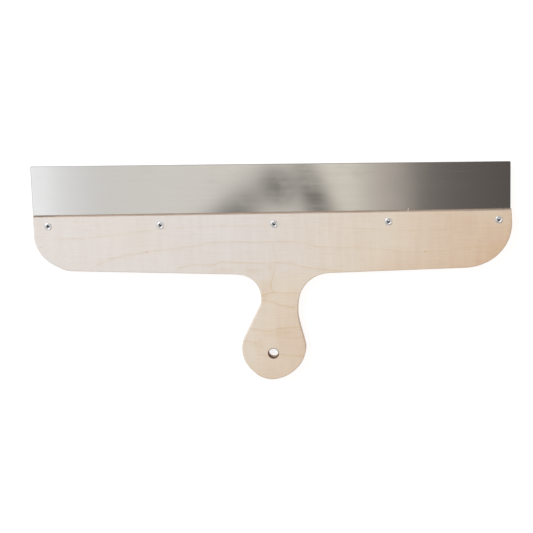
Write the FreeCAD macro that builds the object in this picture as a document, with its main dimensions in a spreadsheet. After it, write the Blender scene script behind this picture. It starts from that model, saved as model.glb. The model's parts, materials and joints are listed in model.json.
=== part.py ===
"""Wide drywall taping knife: a T-shaped plywood board with a spring-steel blade riveted in its kerf.

Frame: the knife lies on its back. X runs along the blade, +Y points to the working edge,
+Z out of the board's front face. The origin is the middle of the plan, on the plane that
the rivets' back rims rest on. Millimetres.
"""
import FreeCAD, Part
import os

import Sketcher

Vector = FreeCAD.Vector
doc = FreeCAD.newDocument("taping_knife")
dims = doc.addObject("Spreadsheet::Sheet", "dims")

# ---------------------------------------------------------------- driving dimensions

BOARD = {
    "front_edge": 76.0,        # Y of the board's front edge, where the blade comes out
    "board_thickness": 12.0,
    "ply_count": 9,
    "edge_break": 1.5,         # rounding along the two faces' outlines, behind the front edge
    "front_break": 0.4,        # rounding along the two faces' front edges
    "kerf_depth": 30.0,        # slot for the blade, sawn into the middle of the front edge
}
HANG_HOLE = {
    "hang_x": -2.0,
    "hang_y": -107.0,
    "hang_radius": 6.25,
    "hang_break": 0.8,         # rounding of the hole's two rims
}
BLADE = {
    "blade_length": 600.0,
    "blade_thickness": 0.5,
    "blade_reach": 63.0,       # from the board's front edge to the working edge, at mid-length
    "blade_overlap": 26.0,     # margin that lies in the kerf
    "blade_shift": -1.1,       # the blade sits a little to the left of the board
    "blade_skew": -0.35,       # degrees; the left end reaches further out than the right
    "blade_corner": 1.5,
}
RIVET = {
    "rivet_bore": 2.0,         # radii
    "rivet_shank": 2.5,
    "rivet_hole": 2.6,
    "front_rim": 4.7,
    "front_crest": 3.3,
    "front_height": 1.1,       # crest above the wood
    "back_rim": 4.7,
    "back_crest": 3.3,
    "back_height": 1.1,        # crest below the wood
    "rim_root": 0.3,           # the rolled rim starts this far from the face inside the bore
}
# Hand-set rivets: distance from the middle, and distance behind the board's front edge.
RIVETS = [
    (-281.7, 12.0),
    (-138.8, 12.5),
    (4.5, 13.0),
    (147.4, 12.0),
    (284.2, 11.5),
]
# The board's outline, anticlockwise from the front left: corner, X, distance in front of
# (+) or behind (-) the front edge, and the radius that rounds the corner. The two front
# corners are sawn square.
CORNERS = [
    ("front_left", -300.8, 0.0, 0.0),
    ("wing_left_outer", -301.9, -50.6, 46.0),
    ("wing_left_inner", -262.9, -70.9, 29.0),
    ("armpit_left", -17.2, -79.2, 30.0),
    ("neck_left", -15.0, -116.0, 24.0),
    ("bulb_left_upper", -42.2, -169.4, 29.0),
    ("bulb_left_lower", -42.1, -194.0, 40.0),
    ("bulb_bottom_left", -14.5, -221.2, 31.0),
    ("bulb_bottom_right", 15.8, -214.2, 46.0),
    ("bulb_right_lower", 38.5, -193.0, 41.0),
    ("bulb_right_upper", 39.9, -174.0, 24.0),
    ("neck_right", 29.7, -130.8, 64.0),
    ("armpit_right", 38.0, -78.8, 41.0),
    ("wing_right_inner", 258.1, -72.9, 62.0),
    ("wing_right_outer", 302.1, -48.0, 56.0),
    ("front_right", 300.0, 0.0, 0.0),
]

sheet_row = 0


def drive(alias, value):
    """One driving dimension: a plain number in the sheet, under its alias."""
    global sheet_row
    sheet_row += 1
    cell = "B" + str(sheet_row)
    dims.set("A" + str(sheet_row), alias)
    dims.set(cell, str(value))
    dims.setAlias(cell, alias)


for group in (BOARD, HANG_HOLE, BLADE, RIVET):
    for alias, value in group.items():
        drive(alias, value)
for number, (across, behind) in enumerate(RIVETS, start=1):
    drive("rivet_across_" + str(number), across)
    drive("rivet_behind_" + str(number), behind)
for corner, across, ahead, radius in CORNERS:
    drive(corner + "_x", across)
    drive(corner + "_y", ahead)
    drive(corner + "_radius", radius)
doc.recompute()

BOARD_BACK = "dims.back_height"
BLADE_BACK = "dims.back_height + (dims.board_thickness - dims.blade_thickness) / 2"
PLY = "dims.board_thickness / dims.ply_count"
TOLERANCE = 1e-4

# ---------------------------------------------------------------- helpers


def origin_plane(body, role):
    """One of a body's own origin planes, found by its role."""
    for feature in body.Origin.OriginFeatures:
        if feature.Role == role:
            return feature
    raise RuntimeError("no plane " + role)


def new_sketch(body, name, role="XY_Plane"):
    sketch = body.newObject("Sketcher::SketchObject", name)
    sketch.AttachmentSupport = [(origin_plane(body, role), "")]
    sketch.MapMode = "FlatFace"
    return sketch


def hold(sketch, name, expression, *constraint):
    """Adds a dimension constraint and binds it to the sheet."""
    index = sketch.addConstraint(Sketcher.Constraint(*constraint))
    sketch.renameConstraint(index, name)
    sketch.setExpression("Constraints." + name, expression)


def hold_point(sketch, name, geometry, position, point, across, ahead):
    """Places a point of the sketch by its distances from the sketch's origin."""
    hold(sketch, name + "_x", across, "DistanceX", -1, 1, geometry, position, point.x)
    hold(sketch, name + "_y", ahead, "DistanceY", -1, 1, geometry, position, point.y)


def close_chain(sketch, count):
    """Joins the end of each of the first geometries to the start of the next, in a ring."""
    for index in range(count):
        following = (index + 1) % count
        sketch.addConstraint(Sketcher.Constraint("Coincident", index, 2, following, 1))


def closed_lines(sketch, points):
    """A closed chain of straight lines; line i starts at point i."""
    for point, following in zip(points, points[1:] + points[:1]):
        sketch.addGeometry(Part.LineSegment(point, following))
    close_chain(sketch, len(points))


def hold_crest(sketch, name, arc, point, across, ahead):
    """Makes an arc pass through a point that is placed by the sheet."""
    index = sketch.addGeometry(Part.Point(point), True)
    sketch.addConstraint(Sketcher.Constraint("PointOnObject", index, 1, arc))
    hold_point(sketch, name, index, 1, point, across, ahead)


def add_circle(sketch, name, centre, radius, across, ahead, radius_expression):
    index = sketch.addGeometry(Part.Circle(centre, Vector(0, 0, 1), radius))
    hold_point(sketch, name, index, 3, centre, across, ahead)
    hold(sketch, name + "_radius", radius_expression, "Radius", index, radius)


def pad_up(body, sketch, name, expression):
    pad = body.newObject("PartDesign::Pad", name)
    pad.Profile = sketch
    pad.setExpression("Length", expression)
    doc.recompute()
    return pad


def cut_up(body, sketch, name):
    """Cuts the sketch through everything above its plane, and makes sure that it cut."""
    before = body.Shape.Volume
    pocket = body.newObject("PartDesign::Pocket", name)
    pocket.Profile = sketch
    pocket.Type = "ThroughAll"
    pocket.Reversed = True
    doc.recompute()
    if body.Shape.Volume > before - 1.0:
        raise RuntimeError(name + " cut nothing")
    return pocket


def upright_edge(shape, x, y):
    """The name of the edge that stands at a corner of the plan."""
    for index, edge in enumerate(shape.Edges, start=1):
        low, high = edge.Vertexes[0].Point, edge.Vertexes[-1].Point
        upright = abs(low.z - high.z) > TOLERANCE
        here = Vector(low.x - x, low.y - y, 0).Length < TOLERANCE
        there = Vector(high.x - x, high.y - y, 0).Length < TOLERANCE
        if upright and here and there:
            return "Edge" + str(index)
    raise RuntimeError("no upright edge at %g, %g" % (x, y))


def level_edges(shape, heights, most_radius=None):
    """The names of the edges that lie at the given heights; with most_radius, small circles."""
    names = []
    for index, edge in enumerate(shape.Edges, start=1):
        box = edge.BoundBox
        level = any(
            abs(box.ZMin - height) < TOLERANCE and abs(box.ZMax - height) < TOLERANCE
            for height in heights
        )
        small = most_radius is None or (
            isinstance(edge.Curve, Part.Circle)
            and edge.isClosed()
            and abs(edge.Curve.Radius - most_radius) < TOLERANCE
        )
        if level and small:
            names.append("Edge" + str(index))
    return names


def along_front(shape, names):
    """Those of the named edges that lie along the board's front edge."""
    places = [(name, shape.getElement(name).BoundBox.YMin) for name in names]
    return [name for name, y in places if abs(y - BOARD["front_edge"]) < TOLERANCE]


def round_edges(body, base, edges, name, expression):
    fillet = body.newObject("PartDesign::Fillet", name)
    fillet.Base = (base, edges)
    fillet.setExpression("Radius", expression)
    doc.recompute()
    return fillet


# ---------------------------------------------------------------- plywood board


def rivet_place(number):
    """A rivet's X and Y as sheet expressions."""
    across = "dims.rivet_across_" + str(number)
    ahead = "dims.front_edge - dims.rivet_behind_" + str(number)
    return across, ahead


def board_blank():
    """The whole board, glued, shaped and drilled, before its kerf is sawn."""
    body = doc.addObject("PartDesign::Body", "board_blank")
    body.setExpression("Placement.Base.z", BOARD_BACK)
    front = BOARD["front_edge"]
    corners = [Vector(across, front + ahead, 0) for _, across, ahead, _ in CORNERS]

    outline = new_sketch(body, "board_outline")
    closed_lines(outline, corners)
    for index, (corner, _, _, _) in enumerate(CORNERS):
        across = "dims." + corner + "_x"
        ahead = "dims.front_edge + dims." + corner + "_y"
        hold_point(outline, corner, index, 1, corners[index], across, ahead)
    feature = pad_up(body, outline, "board_pad", "dims.board_thickness")

    for point, (corner, _, _, radius) in zip(corners, CORNERS):
        if radius == 0.0:
            continue
        edge = upright_edge(feature.Shape, point.x, point.y)
        expression = "dims." + corner + "_radius"
        feature = round_edges(body, feature, [edge], corner + "_round", expression)

    faces = (0.0, BOARD["board_thickness"])
    around = level_edges(feature.Shape, faces)
    in_front = along_front(feature.Shape, around)
    behind = [name for name in around if name not in in_front]
    feature = round_edges(body, feature, behind, "face_edges", "dims.edge_break")
    in_front = along_front(feature.Shape, level_edges(feature.Shape, faces))
    round_edges(body, feature, in_front, "front_edges", "dims.front_break")

    drilled = new_sketch(body, "board_holes")
    for number, (across, behind) in enumerate(RIVETS, start=1):
        centre = Vector(across, front - behind, 0)
        name = "rivet_hole_" + str(number)
        place = rivet_place(number)
        add_circle(drilled, name, centre, RIVET["rivet_hole"], *place, "dims.rivet_hole")
    hang = Vector(HANG_HOLE["hang_x"], HANG_HOLE["hang_y"], 0)
    radius = HANG_HOLE["hang_radius"]
    add_circle(drilled, "hang", hang, radius, "dims.hang_x", "dims.hang_y", "dims.hang_radius")
    feature = cut_up(body, drilled, "board_drilling")

    rims = level_edges(feature.Shape, faces, radius)
    round_edges(body, feature, rims, "hang_rims", "dims.hang_break")
    return body


def ply_name(number):
    count = BOARD["ply_count"]
    if number == 1:
        return "ply_1_front_face"
    if number == count:
        return "ply_" + str(number) + "_back_face"
    if number % 2 == 0:
        return "ply_" + str(number) + "_crossband"
    return "ply_" + str(number) + "_core"


def level_box(name, first_y, width, first_z, height):
    """A box that is longer than the board; its places are sheet expressions."""
    box = doc.addObject("Part::Box", name)
    box.setExpression("Length", "dims.front_right_x * 3")
    box.setExpression("Width", width)
    box.setExpression("Height", height)
    box.setExpression("Placement.Base.x", "-dims.front_right_x * 1.5")
    box.setExpression("Placement.Base.y", first_y)
    box.setExpression("Placement.Base.z", first_z)
    return box


def saw_kerf(blank):
    """The board with the blade's slot sawn along the middle of its front edge."""
    floor = "dims.front_edge - dims.kerf_depth"
    board = doc.addObject("Part::Cut", "slotted_board")
    board.Base = blank
    board.Tool = level_box("kerf", floor, "dims.kerf_depth * 2", BLADE_BACK, "dims.blade_thickness")
    return board


def make_ply(board, number):
    """One veneer sheet, counted from the front face: the slice of the board at its level."""
    below = "(dims.ply_count - " + str(number) + ") * " + PLY
    level = BOARD_BACK + " + " + below
    whole_plan = ("-dims.front_right_x", "dims.front_right_x * 2")
    ply = doc.addObject("Part::Common", ply_name(number))
    ply.Base = board
    ply.Tool = level_box("slab_" + str(number), *whole_plan, level, PLY)
    return ply


# ---------------------------------------------------------------- blade


def make_blade():
    """The blade: a sheet with rounded corners, set skew in the kerf and drilled with the board."""
    body = doc.addObject("PartDesign::Body", "blade_blank")
    half_length = BLADE["blade_length"] / 2
    half_width = (BLADE["blade_reach"] + BLADE["blade_overlap"]) / 2
    corners = [
        Vector(-half_length, -half_width, 0),
        Vector(half_length, -half_width, 0),
        Vector(half_length, half_width, 0),
        Vector(-half_length, half_width, 0),
    ]
    across = "dims.blade_length / 2"
    ahead = "(dims.blade_reach + dims.blade_overlap) / 2"
    sheet_outline = new_sketch(body, "blade_outline")
    closed_lines(sheet_outline, corners)
    for index, point in enumerate(corners):
        x_sign = "-" if point.x < 0 else ""
        y_sign = "-" if point.y < 0 else ""
        name = "corner_" + str(index + 1)
        hold_point(sheet_outline, name, index, 1, point, x_sign + across, y_sign + ahead)
    feature = pad_up(body, sheet_outline, "blade_pad", "dims.blade_thickness")
    edges = [upright_edge(feature.Shape, point.x, point.y) for point in corners]
    round_edges(body, feature, edges, "blade_corners", "dims.blade_corner")

    body.setExpression("Placement.Base.x", "dims.blade_shift")
    middle = "dims.front_edge + (dims.blade_reach - dims.blade_overlap) / 2"
    body.setExpression("Placement.Base.y", middle)
    body.setExpression("Placement.Base.z", BLADE_BACK)
    body.setExpression("Placement.Rotation.Angle", "dims.blade_skew")

    drills = []
    for number in range(1, len(RIVETS) + 1):
        drill = doc.addObject("Part::Cylinder", "drill_" + str(number))
        across, ahead = rivet_place(number)
        drill.setExpression("Radius", "dims.rivet_hole")
        drill.setExpression("Height", "dims.board_thickness * 2")
        drill.setExpression("Placement.Base.x", across)
        drill.setExpression("Placement.Base.y", ahead)
        drill.setExpression("Placement.Base.z", "-dims.board_thickness / 2")
        drills.append(drill)
    drilling = doc.addObject("Part::MultiFuse", "drilling")
    drilling.Shapes = drills
    blade = doc.addObject("Part::Cut", "blade")
    blade.Base = body
    blade.Tool = drilling
    return blade


# ---------------------------------------------------------------- rivets


def make_rivet(number):
    """A hollow rivet: a tube whose two ends are rolled outwards into rims."""
    body = doc.addObject("PartDesign::Body", "rivet_" + str(number))
    back = RIVET["back_height"]
    front = back + BOARD["board_thickness"]
    top = front + RIVET["front_height"]
    root = RIVET["rim_root"]
    back_level = "dims.back_height"
    front_level = "(dims.back_height + dims.board_thickness)"
    top_level = front_level + " + dims.front_height"

    # Half section, right of the axis: point, then its two sheet expressions.
    shank_low = Vector(RIVET["rivet_shank"], back, 0)
    shank_high = Vector(RIVET["rivet_shank"], front, 0)
    front_outer = Vector(RIVET["front_rim"], front, 0)
    front_crest = Vector(RIVET["front_crest"], top, 0)
    front_inner = Vector(RIVET["rivet_bore"], front + root, 0)
    back_inner = Vector(RIVET["rivet_bore"], back - root, 0)
    back_crest = Vector(RIVET["back_crest"], 0, 0)
    back_outer = Vector(RIVET["back_rim"], back, 0)

    section = new_sketch(body, "rivet_section_" + str(number), "XZ_Plane")
    section.addGeometry(Part.LineSegment(shank_low, shank_high))
    section.addGeometry(Part.LineSegment(shank_high, front_outer))
    section.addGeometry(Part.Arc(front_outer, front_crest, front_inner))
    section.addGeometry(Part.LineSegment(front_inner, back_inner))
    section.addGeometry(Part.Arc(back_inner, back_crest, back_outer))
    section.addGeometry(Part.LineSegment(back_outer, shank_low))
    close_chain(section, 6)
    hold_point(section, "shank_low", 0, 1, shank_low, "dims.rivet_shank", back_level)
    hold_point(section, "shank_high", 0, 2, shank_high, "dims.rivet_shank", front_level)
    hold_point(section, "front_outer", 1, 2, front_outer, "dims.front_rim", front_level)
    inner_level = front_level + " + dims.rim_root"
    hold_point(section, "front_inner", 3, 1, front_inner, "dims.rivet_bore", inner_level)
    inner_level = back_level + " - dims.rim_root"
    hold_point(section, "back_inner", 3, 2, back_inner, "dims.rivet_bore", inner_level)
    hold_point(section, "back_outer", 5, 1, back_outer, "dims.back_rim", back_level)
    hold_crest(section, "front_crest", 2, front_crest, "dims.front_crest", top_level)
    hold_crest(section, "back_crest", 4, back_crest, "dims.back_crest", "0")

    turned = body.newObject("PartDesign::Revolution", "rivet_turned_" + str(number))
    turned.Profile = section
    turned.ReferenceAxis = (section, ["V_Axis"])
    turned.Angle = 360.0
    across, ahead = rivet_place(number)
    body.setExpression("Placement.Base.x", across)
    body.setExpression("Placement.Base.y", ahead)
    return body


# ---------------------------------------------------------------- assembly and export

slotted_board = saw_kerf(board_blank())
pieces = [make_ply(slotted_board, number) for number in range(1, BOARD["ply_count"] + 1)]
pieces.append(make_blade())
pieces.extend(make_rivet(number) for number in range(1, len(RIVETS) + 1))
doc.recompute()

for item in doc.Objects:
    if "Invalid" in item.State or "Error" in item.State:
        raise RuntimeError(item.Name + " failed: " + ", ".join(item.State))
for piece in pieces:
    piece.Label = piece.Name
    if piece.Shape.isNull() or not piece.Shape.isValid() or len(piece.Shape.Solids) != 1:
        raise RuntimeError(piece.Label + " is not one valid solid")

os.makedirs("parts", exist_ok=True)
for piece in pieces:
    piece.Shape.exportStep("parts/" + piece.Label + ".step")
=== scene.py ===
"""Looks of a plywood-handled drywall taping knife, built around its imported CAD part."""

import json
import math

import bpy
from mathutils import Matrix, Vector


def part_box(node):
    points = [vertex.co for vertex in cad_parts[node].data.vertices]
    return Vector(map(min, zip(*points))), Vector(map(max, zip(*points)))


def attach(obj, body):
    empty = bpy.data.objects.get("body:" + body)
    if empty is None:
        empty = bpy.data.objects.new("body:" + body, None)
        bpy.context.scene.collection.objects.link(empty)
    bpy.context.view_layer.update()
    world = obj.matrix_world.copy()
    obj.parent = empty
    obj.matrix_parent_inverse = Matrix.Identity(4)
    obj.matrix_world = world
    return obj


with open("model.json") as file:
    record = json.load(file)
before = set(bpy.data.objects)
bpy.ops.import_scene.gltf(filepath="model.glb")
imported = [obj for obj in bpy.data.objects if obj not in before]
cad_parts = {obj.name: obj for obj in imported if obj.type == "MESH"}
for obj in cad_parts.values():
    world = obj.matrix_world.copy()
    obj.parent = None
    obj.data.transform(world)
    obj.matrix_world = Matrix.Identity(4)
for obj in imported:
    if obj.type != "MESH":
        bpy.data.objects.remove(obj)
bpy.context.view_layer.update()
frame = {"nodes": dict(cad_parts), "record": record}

MM = 0.001

FACES = ("ply_1_front_face", "ply_9_back_face")
LONG_PLIES = tuple(f"ply_{n}_core" for n in (3, 5, 7))
CROSS_PLIES = tuple(f"ply_{n}_crossband" for n in (2, 4, 6, 8))
RIVETS = tuple(f"rivet_{n}" for n in range(1, 6))

FACE_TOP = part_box(FACES[0])[1].z
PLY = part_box(FACES[0])[1].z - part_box(FACES[0])[0].z
BOARD_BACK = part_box(FACES[1])[0].z
FRONT_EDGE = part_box(FACES[0])[1].y
BLADE_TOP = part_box("blade")[1].z
# The blade as CAD lays it: its size, the middle of its plan and its small turn in the kerf.
BLADE_LENGTH = 600 * MM
BLADE_HALF_WIDTH = 44.5 * MM
BLADE_CENTRE = (-1.1 * MM, 94.5 * MM)
BLADE_SKEW = math.radians(-0.35)
HANG_HOLE = next(mount for mount in frame["record"]["mounts"] if mount["name"] == "hang_hole")
HOLE_PLACE = HANG_HOLE["pos_m"]
HOLE_RADIUS = HANG_HOLE["dims"]["r_mm"] * MM


class Graph:
    """The node graph of one material, with the surface's place and facing at hand."""

    def __init__(self, name):
        self.material = bpy.data.materials.new(name)
        self.material.use_nodes = True
        self.tree = self.material.node_tree
        self.shader = self.tree.nodes["Principled BSDF"]
        self.place = self.add("ShaderNodeTexCoord").outputs["Object"]
        self.x, self.y, self.z = self.apart(self.place)
        facing = self.add("ShaderNodeNewGeometry").outputs["Normal"]
        self.facing_x, self.facing_y, self.facing_z = self.apart(facing)

    def add(self, kind, inputs=None, **settings):
        """A new node; each input is a value or another node's socket."""
        node = self.tree.nodes.new(kind)
        for name, value in settings.items():
            setattr(node, name, value)
        for socket, value in (inputs or {}).items():
            self.put(node.inputs[socket], value)
        return node

    def put(self, socket, value):
        if isinstance(value, bpy.types.NodeSocket):
            self.tree.links.new(value, socket)
        else:
            socket.default_value = value

    def surface(self, **inputs):
        """Sets the shader's sockets; Base_Color stands for Base Color."""
        for name, value in inputs.items():
            self.put(self.shader.inputs[name.replace("_", " ")], value)

    def apart(self, vector):
        """The three parts of a vector."""
        return self.add("ShaderNodeSeparateXYZ", {0: vector}).outputs

    def math(self, operation, *values):
        inputs = dict(enumerate(values))
        return self.add("ShaderNodeMath", inputs, operation=operation).outputs[0]

    def total(self, *values):
        result = values[0]
        for value in values[1:]:
            result = self.math("ADD", result, value)
        return result

    def smooth(self, value, zero_at, one_at, low=0.0, high=1.0):
        """Goes smoothly from low, where value is zero_at, to high, where it is one_at."""
        inputs = {"Value": value, "From Min": zero_at, "From Max": one_at,
                  "To Min": low, "To Max": high}
        node = self.add("ShaderNodeMapRange", inputs, interpolation_type="SMOOTHSTEP")
        return node.outputs["Result"]

    def spread(self, value, zero_at, one_at, low=0.0, high=1.0):
        """Goes evenly from low, where value is zero_at, to high, where it is one_at."""
        inputs = {"Value": value, "From Min": zero_at, "From Max": one_at,
                  "To Min": low, "To Max": high}
        return self.add("ShaderNodeMapRange", inputs).outputs["Result"]

    def noise(self, scale, detail=2.0, roughness=0.5, seed=0.0):
        """Noise with scale features to the metre along each axis; seed moves it elsewhere."""
        inputs = {"Vector": self.place, "Location": (seed, seed * 0.7, seed * 1.3), "Scale": scale}
        stretched = self.add("ShaderNodeMapping", inputs).outputs[0]
        inputs = {"Vector": stretched, "Scale": 1.0, "Detail": detail, "Roughness": roughness}
        return self.add("ShaderNodeTexNoise", inputs).outputs[0]

    def mix(self, amount, first, second, blend_type="MIX"):
        node = self.add("ShaderNodeMix", {0: amount, 6: first, 7: second},
                        data_type="RGBA", blend_type=blend_type)
        return node.outputs[2]

    def bump(self, height, metres, strength=1.0, normal=None):
        """The surface's normal, bent by a relief that is this many metres deep."""
        inputs = {"Height": height, "Distance": metres, "Strength": strength}
        if normal is not None:
            inputs["Normal"] = normal
        return self.add("ShaderNodeBump", inputs).outputs[0]

    def curve(self, value, points):
        """The smooth curve through points, which are (value, result) pairs."""
        low_in, high_in = points[0][0], points[-1][0]
        results = [result for _, result in points]
        low, high = min(results), max(results)
        node = self.add("ShaderNodeFloatCurve", {"Value": self.spread(value, low_in, high_in)})
        handles = node.mapping.curves[0].points
        shares = [((at - low_in) / (high_in - low_in), (result - low) / (high - low))
                  for at, result in points]
        handles[0].location, handles[1].location = shares[0], shares[-1]
        for share in shares[1:-1]:
            handles.new(*share)
        node.mapping.update()
        return self.spread(node.outputs[0], 0.0, 1.0, low, high)

    def from_point(self, x, y):
        """Distance in plan from (x, y)."""
        across = self.math("SUBTRACT", self.x, x)
        along = self.math("SUBTRACT", self.y, y)
        squares = self.math("ADD", self.math("POWER", self.math("ABSOLUTE", across), 2.0),
                            self.math("POWER", self.math("ABSOLUTE", along), 2.0))
        return self.math("SQRT", squares)


def colour(red, green, blue):
    return (red, green, blue, 1.0)


# Grain lines of the front veneer, each through a few points (along, across) in millimetres,
# with its strength. They bend over the stem as one flat-cut arch.
FRONT_LINES = (
    (0.25, ((-300, 47), (-244, 48), (-188, 53), (-122, 60), (-60, 62), (0, 61))),
    (0.40, ((-232, 4), (-205, 20), (-172, 27), (-103, 35.5), (-55, 41), (-17, 40), (18, 40.5),
            (69, 32.5), (118, 30.5), (194, 24.5), (246, 29.5), (300, 31))),
    (0.55, ((-120, 3), (-90, 12), (-78, 11), (-61, 14.5), (-14, 12.5), (12, 13), (36, 8), (60, 4),
            (90, 1))),
    (0.30, ((90, 57.5), (127, 55), (195, 52.5), (243, 54), (302, 54.5))),
    (0.60, ((-20, -31), (-7, -27.5), (2, -26), (14, -26.5), (34, -27))),
    (0.60, ((-20, -36), (-4, -37.5), (8, -42), (15, -44), (27, -46.5))),
    (0.75, ((-36, -72), (-22, -74.5), (-10, -76.5), (6, -73.5), (24, -72.5), (38, -71.5))),
    (0.65, ((-44, -89.5), (-31, -91), (-24, -92.5), (-22, -104), (-12, -109.5), (5, -108),
            (16, -109.5), (44, -110))),
)
# Grain lines that cross the board, through points (across, along) in millimetres.
FRONT_CROSS_LINES = (
    (0.30, ((12, 9), (17, 7), (28, 4), (39, 2))),
    (0.75, ((-27, 2), (-24, 0.5), (-18, -2), (-9, 0), (2, 3))),
)
# Blurred honey patches: middle x and y, half length, half width in millimetres, strength.
FRONT_PATCHES = ((-60, 3, 22, 4, 0.5), (-25, 3, 16, 5, 0.5), (-9, -22, 9, 16, 0.5),
                 (-12, -32, 6, 5, 0.6), (-4, -82, 16, 7, 0.6), (12, -80, 14, 6, 0.5),
                 (-22, -96, 9, 8, 0.5), (0, 6, 12, 5, 0.4))
# Pin knots: x, y and radius in millimetres.
FRONT_KNOTS = ((-158, 29, 1.0), (193, 25, 1.0), (25, -45.5, 0.7), (1, -50, 0.5), (-18, -88, 0.5),
               (13, -80, 0.5), (248, 26, 0.7), (-292, 37, 0.7), (186, 67, 0.5))
# The back veneer has its own lines, patches and knots.
BACK_LINES = (
    (0.50, ((-300, 30), (-210, 34), (-120, 41), (-20, 38), (80, 30), (190, 33), (300, 27))),
    (0.60, ((-300, 8), (-200, 14), (-110, 22), (-30, 24), (50, 17), (140, 12), (300, 14))),
    (0.55, ((-45, -34), (-10, -30), (20, -33), (50, -38))),
    (0.50, ((-45, -82), (-12, -76), (18, -79), (45, -86))),
    (0.40, ((-50, -118), (-10, -114), (25, -118), (50, -126))),
)
BACK_PATCHES = ((40, 20, 40, 8, 0.4), (-140, 30, 50, 7, 0.4), (0, -60, 18, 12, 0.4))
BACK_KNOTS = ((-96, 44, 1.2), (222, 19, 0.9), (12, -58, 1.1), (118, 52, 0.6))


def grain_line(g, strength, points, along, across, seed):
    """How much one grain line darkens the wood: sharp on one side, fading on the other."""
    places = [(a * MM, b * MM) for a, b in points]
    wander = g.noise((90, 90, 0), detail=3.0, seed=seed)
    line = g.curve(along, places)
    off = g.math("SUBTRACT", across, g.total(line, g.spread(wander, 0.0, 1.0, -1.0 * MM, 1.0 * MM)))
    sharp = g.smooth(g.math("ABSOLUTE", off), 0.85 * MM, 0.1 * MM)
    soft = g.math("MULTIPLY", g.smooth(off, -3.5 * MM, 0.0), g.smooth(off, 0.6 * MM, 0.0))
    both = g.math("MAXIMUM", sharp, g.math("MULTIPLY", soft, 0.45))
    start, end = places[0][0], places[-1][0]
    fade = 14 * MM
    inside = g.math("MULTIPLY", g.smooth(along, start - fade * 0.3, start + fade * 0.3),
                    g.smooth(along, end + fade * 0.3, end - fade * 0.3))
    patchy = g.smooth(g.noise((35, 35, 0), detail=2.0, seed=seed + 4.0), 0.25, 0.7, 0.55, 1.0)
    return g.math("MULTIPLY", g.math("MULTIPLY", both, inside), g.math("MULTIPLY", patchy, strength))


def hole_painted_shade(g):
    """1 on the wall of the hanging hole, where shade is painted on the bore in dark brown; less near
    the back.
    """
    away = g.from_point(HOLE_PLACE[0], HOLE_PLACE[1])
    near = g.smooth(away, HOLE_RADIUS + 1.2 * MM, HOLE_RADIUS + 0.6 * MM)
    high = g.smooth(g.z, BOARD_BACK + 4 * MM, BOARD_BACK + 9.5 * MM, 0.10)
    return g.math("MULTIPLY", near, high)


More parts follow.
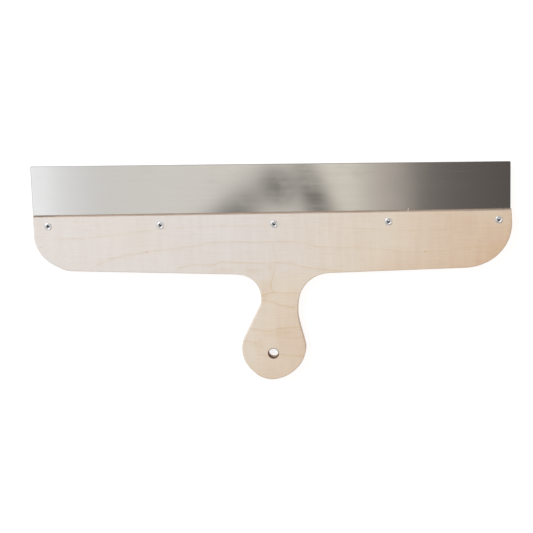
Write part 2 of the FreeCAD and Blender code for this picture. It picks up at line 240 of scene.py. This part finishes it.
def face_veneer(name, lines, cross_lines, patches, knots, seed):
    """Sanded, thinly lacquered birch veneer: pale fibres, honey grain lines, flecks and pin knots,
    with painted light paling its left side, painted light and shade on its rounded edges and painted
    shade in the hanging hole.
    """
    g = Graph(name)
    # Paler towards the left, honey towards the right: partly the veneer's own tone, partly painted
    # light, with the left side whitened as if lit and the right side warmer as if in shade. The drift
    # noise varies it at random.
    slope = g.math("SUBTRACT", g.x, g.math("MULTIPLY", g.y, 1.2))
    drift = g.noise((5, 11, 5), detail=2.0, seed=seed)
    tone_and_painted_light = g.math("ADD", g.smooth(slope, -0.20, 0.40), g.spread(drift, 0.3, 0.7, -0.12, 0.12))
    pale, cream, honey = (colour(0.660, 0.612, 0.582), colour(0.680, 0.582, 0.480),
                          colour(0.605, 0.422, 0.284))
    tone = g.mix(g.spread(tone_and_painted_light, 0.0, 0.45), pale, cream)
    tone = g.mix(g.spread(tone_and_painted_light, 0.45, 1.0), tone, honey)

    marks = [grain_line(g, strength, points, g.x, g.y, seed + 3.1 * n)
             for n, (strength, points) in enumerate(lines)]
    marks += [grain_line(g, strength, points, g.y, g.x, seed + 40 + 3.1 * n)
              for n, (strength, points) in enumerate(cross_lines)]
    for n, (x, y, half_x, half_y, strength) in enumerate(patches):
        local = g.add("ShaderNodeMapping", {"Vector": g.place, "Location": (x * MM, y * MM, FACE_TOP),
                                            "Scale": (half_x * MM, half_y * MM, 1.0)},
                      vector_type="TEXTURE").outputs[0]
        ragged = g.noise((60, 150, 0), detail=3.0, seed=seed + 70 + n)
        reach = g.math("ADD", g.add("ShaderNodeVectorMath", {0: local}, operation="LENGTH").outputs[1],
                       g.spread(ragged, 0.0, 1.0, -0.5, 0.5))
        marks.append(g.math("MULTIPLY", g.smooth(reach, 1.2, 0.2), strength * 0.34))
    wood = g.mix(g.math("MINIMUM", g.total(*marks), 0.9), tone, colour(0.590, 0.430, 0.245))

    fibres = g.noise((22, 900, 22), detail=4.0, roughness=0.65, seed=seed + 9)
    wood = g.mix(0.36, wood, g.mix(g.spread(fibres, 0.25, 0.75), colour(0.40, 0.38, 0.36),
                                  colour(0.60, 0.60, 0.60)), "OVERLAY")
    flame = g.noise((130, 16, 16), detail=3.0, roughness=0.6, seed=seed + 17)
    wood = g.mix(0.22, wood, g.mix(g.spread(flame, 0.3, 0.7), colour(0.42, 0.41, 0.40),
                                   colour(0.58, 0.58, 0.58)), "OVERLAY")
    flecks = g.noise((75, 1400, 75), detail=1.0, seed=seed + 23)
    wood = g.mix(g.smooth(flecks, 0.66, 0.80, 0.0, 0.42), wood, colour(0.42, 0.27, 0.15))
    for x, y, radius in knots:
        away = g.math("ADD", g.from_point(x * MM, y * MM),
                      g.spread(g.noise((500, 900, 0), detail=2.0, seed=seed + 31), 0.0, 1.0,
                               -0.5 * MM, 0.5 * MM))
        wood = g.mix(g.smooth(away, radius * 1.5 * MM, radius * 0.2 * MM, 0.0, 0.8), wood,
                     colour(0.47, 0.27, 0.13))

    # Rounded edges: painted shade in dark brown, and a painted highlight in light grey where the
    # rounding faces left, towards the key light.
    edge = g.smooth(g.math("ABSOLUTE", g.facing_z), 0.92, 0.25)
    painted_highlight_left = g.smooth(g.facing_x, -0.10, -0.50)
    rim_light_and_shade = g.mix(painted_highlight_left, colour(0.50, 0.365, 0.25), colour(0.64, 0.63, 0.62))
    wood = g.mix(g.math("MULTIPLY", edge, 0.85), wood, rim_light_and_shade)
    # Painted shade in dark brown on the wall of the hanging hole.
    wood = g.mix(hole_painted_shade(g), wood, colour(0.105, 0.052, 0.024))

    sheen = g.noise((12, 60, 12), detail=3.0, seed=seed + 51)
    relief = g.math("ADD", fibres, g.math("MULTIPLY", g.smooth(flecks, 0.66, 0.80), -0.8))
    swell = g.bump(g.noise((9, 20, 9), detail=1.0, seed=seed + 61), 0.10 * MM)
    g.surface(Base_Color=wood, Roughness=g.spread(sheen, 0.3, 0.7, 0.46, 0.62),
              Normal=g.bump(relief, 0.035 * MM, 1.0, swell))
    g.shader.inputs["Specular IOR Level"].default_value = 0.35
    return g.material


def edge_ply(name, along_x, seed):
    """Sawn and sanded inner ply: streaked where it shows its side, darker and pored at its end."""
    g = Graph(name)
    end_facing = g.facing_x if along_x else g.facing_y
    end = g.smooth(g.math("ABSOLUTE", end_facing), 0.25, 0.85)
    streaks = g.noise((45, 45, 2200), detail=3.0, roughness=0.6, seed=seed)
    pores = g.noise((1500, 1500, 2600), detail=2.0, seed=seed + 5)
    side = g.mix(g.spread(streaks, 0.25, 0.75), colour(0.66, 0.475, 0.37), colour(0.80, 0.64, 0.52))
    grainy = g.mix(g.spread(pores, 0.3, 0.7), colour(0.36, 0.25, 0.19), colour(0.56, 0.42, 0.32))
    wood = g.mix(end, side, grainy)
    worn = g.noise((55, 55, 120), detail=3.0, roughness=0.6, seed=seed + 11)
    wood = g.mix(g.smooth(worn, 0.52, 0.72, 0.0, 0.45), wood, colour(0.36, 0.19, 0.12))
    ends = g.math("MULTIPLY", g.smooth(g.x, -0.262, -0.285), g.smooth(g.y, 0.060, 0.070))
    wood = g.mix(g.math("MULTIPLY", ends, 0.6), wood, colour(0.20, 0.13, 0.10))
    layer = g.math("DIVIDE", g.math("SUBTRACT", g.z, BOARD_BACK), PLY)
    glue = g.smooth(g.math("PINGPONG", layer, 0.5), 0.07, 0.02, 0.0, 0.7)
    wood = g.mix(glue, wood, colour(0.16, 0.095, 0.065))
    # Painted shade in dark brown on the wall of the hanging hole.
    wood = g.mix(hole_painted_shade(g), wood, colour(0.115, 0.055, 0.024))
    saw = g.noise((420, 420, 30), detail=2.0, seed=seed + 21)
    relief = g.total(g.math("MULTIPLY", streaks, 0.4), g.math("MULTIPLY", saw, 0.5),
                     g.math("MULTIPLY", g.math("MULTIPLY", pores, end), 0.8),
                     g.math("MULTIPLY", glue, -0.5))
    g.surface(Base_Color=wood, Roughness=g.spread(worn, 0.3, 0.7, 0.58, 0.78),
              Normal=g.bump(relief, 0.07 * MM))
    g.shader.inputs["Specular IOR Level"].default_value = 0.3
    return g.material


def spring_steel(name):
    """Bright rolled stainless strip: fine lines along the blade, light scratches, a ground edge."""
    g = Graph(name)
    rolled = g.noise((7, 2600, 7), detail=4.0, roughness=0.65, seed=2.0)
    coarse = g.noise((2.5, 160, 2.5), detail=3.0, seed=5.0)
    metal = g.mix(g.spread(rolled, 0.25, 0.75), colour(0.615, 0.606, 0.592),
                  colour(0.662, 0.653, 0.640))
    smudge = g.noise((16, 24, 16), detail=4.0, roughness=0.6, seed=8.0)
    metal = g.mix(g.smooth(smudge, 0.5, 0.75, 0.0, 0.10), metal, colour(0.50, 0.48, 0.45))

    turned = g.add("ShaderNodeMapping", {"Vector": g.place, "Location": (*BLADE_CENTRE, 0.0),
                                         "Rotation": (0.0, 0.0, BLADE_SKEW)},
                   vector_type="TEXTURE").outputs[0]
    along, across, _ = g.apart(turned)
    from_edge = g.math("SUBTRACT", BLADE_HALF_WIDTH, across)
    from_end = g.math("SUBTRACT", BLADE_LENGTH / 2, g.math("ABSOLUTE", along))
    nibbled = g.spread(g.noise((60, 60, 0), detail=3.0, seed=12.0), 0.0, 1.0, -0.4 * MM, 0.4 * MM)
    bevel = g.smooth(g.math("ADD", from_edge, nibbled), 1.1 * MM, 0.5 * MM)
    cut_end = g.smooth(from_end, 0.9 * MM, 0.3 * MM)
    worn = g.math("MAXIMUM", bevel, cut_end)
    metal = g.mix(g.math("MULTIPLY", worn, 0.55), metal, colour(0.33, 0.32, 0.31))

    scratches = []
    for n, angle in enumerate((0.10, -0.16, 0.85, -1.2)):
        tilted = g.add("ShaderNodeMapping", {"Vector": g.place, "Rotation": (0.0, 0.0, angle),
                                             "Scale": (9.0, 1500.0, 1.0)}).outputs[0]
        lines = g.add("ShaderNodeTexNoise", {"Vector": tilted, "Scale": 1.0, "Detail": 0.0}).outputs[0]
        where = g.smooth(g.noise((14, 14, 0), detail=2.0, seed=20.0 + 3 * n), 0.52, 0.68)
        scratches.append(g.math("MULTIPLY", g.smooth(lines, 0.76, 0.84), where))
    scratched = g.math("MINIMUM", g.total(*scratches), 1.0)
    metal = g.mix(g.math("MULTIPLY", scratched, 0.25), metal, colour(0.82, 0.81, 0.80))

    rough = g.total(g.spread(coarse, 0.3, 0.7, 0.065, 0.090),
                    g.smooth(smudge, 0.5, 0.75, 0.0, 0.06),
                    g.math("MULTIPLY", worn, 0.15), g.math("MULTIPLY", scratched, 0.12))
    waves = g.bump(g.noise((4.0, 7.0, 4.0), detail=1.0, seed=31.0), 0.16 * MM)
    lines = g.math("ADD", rolled, g.math("MULTIPLY", scratched, -1.2))
    g.surface(Base_Color=metal, Roughness=rough, Normal=g.bump(lines, 0.0011 * MM, 1.0, waves))
    g.shader.inputs["Metallic"].default_value = 1.0
    return g.material


def rivet_metal(name):
    """Bright rolled aluminium tube end, with painted shade inside the bore and lightly scuffed
    outside.
    """
    g = Graph(name)
    grainy = g.noise((900, 900, 900), detail=3.0, roughness=0.6, seed=3.0)
    metal = g.mix(g.spread(grainy, 0.3, 0.7), colour(0.62, 0.62, 0.63), colour(0.80, 0.80, 0.81))
    scuffs = g.noise((260, 1500, 260), detail=2.0, seed=6.0)
    metal = g.mix(g.smooth(scuffs, 0.58, 0.74, 0.0, 0.4), metal, colour(0.50, 0.50, 0.52))
    middle = (FACE_TOP + BOARD_BACK) / 2
    depth = g.math("ABSOLUTE", g.math("SUBTRACT", g.z, middle))
    # Painted shade: the metal darkens deep inside the bore, and the same mask roughens it there.
    bore_painted_shade = g.smooth(depth, FACE_TOP - middle - 0.2 * MM, FACE_TOP - middle - 3.5 * MM)
    metal = g.mix(g.math("MULTIPLY", bore_painted_shade, 0.8), metal, colour(0.22, 0.215, 0.21))
    rough = g.math("ADD", g.spread(grainy, 0.3, 0.7, 0.44, 0.54), g.math("MULTIPLY", bore_painted_shade, 0.2))
    g.surface(Base_Color=metal, Roughness=rough, Normal=g.bump(scuffs, 0.02 * MM))
    g.shader.inputs["Metallic"].default_value = 1.0
    return g.material


def dress(names, material):
    """Puts one material on each of the named CAD pieces."""
    for name in names:
        piece = frame["nodes"][name]
        piece.data.materials.clear()
        piece.data.materials.append(material)


def make_splinter(material):
    """A torn sliver of the core ply that stands out of the kerf over the blade."""
    x, reach, width, thickness = 172 * MM, 3.8 * MM, 1.3 * MM, 0.5 * MM
    root = 0.8 * MM
    lean, lift = 0.9 * MM, 0.9 * MM
    low = BLADE_TOP + 0.05 * MM
    rings, sides = 9, 8
    vertices, faces = [], []
    for ring in range(rings):
        share = ring / (rings - 1)
        taper = (1.0 - share) ** 0.6 * (1.0 + 0.15 * math.sin(9.0 * share)) + 0.04
        middle = Vector((x + lean * share * share, FRONT_EDGE - root + (reach + root) * share,
                         low + thickness / 2 + lift * share ** 1.5))
        for side in range(sides):
            turn = 2 * math.pi * side / sides
            ragged = 1.0 + 0.12 * math.sin(3 * turn + 2.0 * ring)
            vertices.append(middle + Vector((math.cos(turn) * width / 2 * taper * ragged, 0.0,
                                             math.sin(turn) * thickness / 2 * taper * ragged)))
    for ring in range(rings - 1):
        for side in range(sides):
            a, b = ring * sides + side, ring * sides + (side + 1) % sides
            faces.append((a, b, b + sides, a + sides))
    faces.append(tuple(reversed(range(sides))))
    faces.append(tuple(range((rings - 1) * sides, rings * sides)))
    mesh = bpy.data.meshes.new("splinter")
    mesh.from_pydata(vertices, [], faces)
    mesh.materials.append(material)
    mesh.shade_smooth()
    piece = bpy.data.objects.new("splinter", mesh)
    bpy.context.scene.collection.objects.link(piece)
    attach(piece, "root")


def splinter_wood(name):
    """Freshly torn birch: pale, dry and stringy along the sliver."""
    g = Graph(name)
    strings = g.noise((1800, 120, 1800), detail=3.0, roughness=0.6, seed=4.0)
    wood = g.mix(g.spread(strings, 0.25, 0.75), colour(0.66, 0.52, 0.37), colour(0.86, 0.77, 0.64))
    g.surface(Base_Color=wood, Roughness=g.spread(strings, 0.3, 0.7, 0.65, 0.85),
              Normal=g.bump(strings, 0.08 * MM))
    g.shader.inputs["Specular IOR Level"].default_value = 0.25
    return g.material


def plane(name, width, depth, place, turn=None):
    """A flat stage piece, in metres, facing up before it is turned."""
    half_x, half_y = width / 2, depth / 2
    mesh = bpy.data.meshes.new(name)
    corners = [(-half_x, -half_y, 0), (half_x, -half_y, 0), (half_x, half_y, 0), (-half_x, half_y, 0)]
    mesh.from_pydata(corners, [], [(0, 1, 2, 3)])
    piece = bpy.data.objects.new(name, mesh)
    bpy.context.scene.collection.objects.link(piece)
    piece.location = place
    if turn is not None:
        piece.rotation_euler = turn
    return piece


FLOOR_SIDE = 40.0
# Off centre, so that the seam between the floor's two big triangles runs clear of the knife.
FLOOR_MIDDLE = (6.0, 0.0, 0.0)


def make_floor():
    """A pale table that glows a little, as a light table does, so that shadows stay faint."""
    floor = plane("floor", FLOOR_SIDE, FLOOR_SIDE, FLOOR_MIDDLE)
    g = Graph("floor_white")
    g.surface(Base_Color=colour(0.32, 0.32, 0.32), Roughness=0.9,
              Emission_Color=colour(1.0, 1.0, 1.0), Emission_Strength=0.80)
    g.shader.inputs["Specular IOR Level"].default_value = 0.0
    out = g.tree.nodes["Material Output"]
    from_below = g.add("ShaderNodeNewGeometry").outputs["Backfacing"]
    clear = g.add("ShaderNodeBsdfTransparent")
    pick = g.add("ShaderNodeMixShader", {0: from_below, 1: g.shader.outputs[0],
                                         2: clear.outputs[0]})
    g.put(out.inputs["Surface"], pick.outputs[0])
    floor.data.materials.append(g.material)


# What the blade mirrors: an overhead card, bright on the left and dark on the right, with the soft
# dark shape of a stand in front of it. Places are on the card, in metres.
CARD_HEIGHT = 1.5
CARD_LEFT, CARD_RIGHT = -1.1, 1.1
CARD_DEPTH, CARD_MIDDLE_Y = 1.6, -0.40
# From left to right: x and how bright the card is there.
CARD_STOPS = ((-0.585, (1.28, 1.29, 1.32)), (-0.54, (1.02, 1.03, 1.05)), (-0.47, (0.91, 0.895, 0.87)),
              (-0.20, (0.96, 0.925, 0.86)), (0.03, (0.99, 0.93, 0.83)), (0.075, (0.71, 0.66, 0.59)),
              (0.13, (0.55, 0.50, 0.45)), (0.175, (0.25, 0.23, 0.212)), (0.24, (0.185, 0.168, 0.158)),
              (0.34, (0.145, 0.128, 0.118)), (0.50, (0.10, 0.09, 0.085)))
# The soft dark spots: x, y, half length, half width, and the turn in degrees.
CARD_SHADES = ((-0.229, -0.342, 0.160, 0.051, 48), (-0.112, -0.245, 0.055, 0.043, -54),
               (-0.031, -0.289, 0.141, 0.035, -70))
CARD_SHADE_STRENGTH = 0.83


def make_card():
    """The glowing card over the knife; the camera doesn't see it directly."""
    card = plane("overhead_card", CARD_RIGHT - CARD_LEFT, CARD_DEPTH,
                 ((CARD_LEFT + CARD_RIGHT) / 2, CARD_MIDDLE_Y, CARD_HEIGHT), (math.pi, 0.0, 0.0))
    g = Graph("card_glow")
    where = g.add("ShaderNodeNewGeometry").outputs["Position"]
    x, y, _ = g.apart(where)
    ramp = g.add("ShaderNodeValToRGB", {0: g.spread(x, CARD_LEFT, CARD_RIGHT)})
    stops = ramp.color_ramp.elements
    while len(stops) < len(CARD_STOPS):
        stops.new(0.5)
    for stop, (at, level) in zip(stops, CARD_STOPS):
        stop.position = (at - CARD_LEFT) / (CARD_RIGHT - CARD_LEFT)
        stop.color = (*level, 1.0)
    light = ramp.outputs[0]
    shade = 0.0
    for at_x, at_y, half_x, half_y, turn in CARD_SHADES:
        local = g.add("ShaderNodeMapping", {"Vector": where, "Location": (at_x, at_y, CARD_HEIGHT),
                                            "Rotation": (0.0, 0.0, math.radians(turn)),
                                            "Scale": (half_x, half_y, 1.0)},
                      vector_type="TEXTURE").outputs[0]
        reach = g.add("ShaderNodeVectorMath", {0: local}, operation="LENGTH").outputs[1]
        shade = g.math("MAXIMUM", shade, g.smooth(reach, 1.3, 0.2))
    shade = g.math("MULTIPLY", shade, CARD_SHADE_STRENGTH)
    light = g.mix(shade, light, colour(0.0, 0.0, 0.0))
    glow = g.add("ShaderNodeEmission", {"Color": light, "Strength": 1.0})
    g.put(g.tree.nodes["Material Output"].inputs["Surface"], glow.outputs[0])
    card.data.materials.append(g.material)
    card.visible_camera = False
    card.visible_shadow = False


def soft_light(name, place, size, watts, tint):
    """A round area light that points at the knife."""
    lamp = bpy.data.lights.new(name, "AREA")
    lamp.shape = "DISK"
    lamp.size = size
    lamp.energy = watts
    lamp.color = tint
    light = bpy.data.objects.new(name, lamp)
    bpy.context.scene.collection.objects.link(light)
    light.location = place
    light.rotation_euler = (-Vector(place)).to_track_quat("-Z", "Y").to_euler()


def make_world(ambient, backdrop):
    """Even pale surroundings: dimmer as light than as the backdrop that the camera sees."""
    world = bpy.data.worlds.new("studio")
    world.use_nodes = True
    tree = world.node_tree
    background = tree.nodes["Background"]
    path = tree.nodes.new("ShaderNodeLightPath")
    mix = tree.nodes.new("ShaderNodeMix")
    mix.data_type = "RGBA"
    tree.links.new(path.outputs["Is Camera Ray"], mix.inputs[0])
    mix.inputs[6].default_value = (*ambient, 1.0)
    mix.inputs[7].default_value = (*backdrop, 1.0)
    tree.links.new(mix.outputs[2], background.inputs["Color"])
    bpy.context.scene.world = world


def make_camera():
    """Long lens, from beyond the working edge and a little to the right, blade towards the top."""
    pitch, yaw, roll = math.radians(15.5), math.radians(5.0), math.radians(-2.08)
    distance, target = 2.6090, Vector((-0.00686, 0.00802, 0.0131))
    back = Vector((math.sin(yaw) * math.cos(pitch), math.sin(pitch), math.cos(yaw) * math.cos(pitch)))
    right = (-back).cross(Vector((0.0, 1.0, 0.0))).normalized()
    up = right.cross(-back)
    turned_right = right * math.cos(roll) + up * math.sin(roll)
    turned_up = up * math.cos(roll) - right * math.sin(roll)
    lens = bpy.data.cameras.new("camera")
    lens.lens, lens.sensor_width = 140.0, 36.0
    lens.clip_start, lens.clip_end = 0.1, 100.0
    camera = bpy.data.objects.new("camera", lens)
    bpy.context.scene.collection.objects.link(camera)
    turn = Matrix((turned_right, turned_up, back)).transposed().to_4x4()
    camera.matrix_world = Matrix.Translation(target + back * distance) @ turn
    bpy.context.scene.camera = camera


def main():
    dress(FACES[:1], face_veneer("front_veneer", FRONT_LINES, FRONT_CROSS_LINES, FRONT_PATCHES,
                                 FRONT_KNOTS, 0.0))
    dress(FACES[1:], face_veneer("back_veneer", BACK_LINES, (), BACK_PATCHES, BACK_KNOTS, 120.0))
    dress(LONG_PLIES, edge_ply("long_ply", True, 0.0))
    dress(CROSS_PLIES, edge_ply("cross_ply", False, 30.0))
    dress(("blade",), spring_steel("spring_steel"))
    dress(RIVETS, rivet_metal("rivet_metal"))
    make_splinter(splinter_wood("torn_birch"))

    make_floor()
    make_card()
    soft_light("key", (-2.1, 1.75, 2.1), size=1.4, watts=97.0, tint=(0.90, 0.95, 1.0))
    soft_light("fill", (2.2, -0.6, 1.6), size=1.2, watts=18.0, tint=(1.0, 0.88, 0.74))
    make_world(ambient=(0.46, 0.46, 0.46), backdrop=(1.0, 1.0, 1.0))
    make_camera()
    bpy.context.scene.view_settings.view_transform = "Standard"


main()
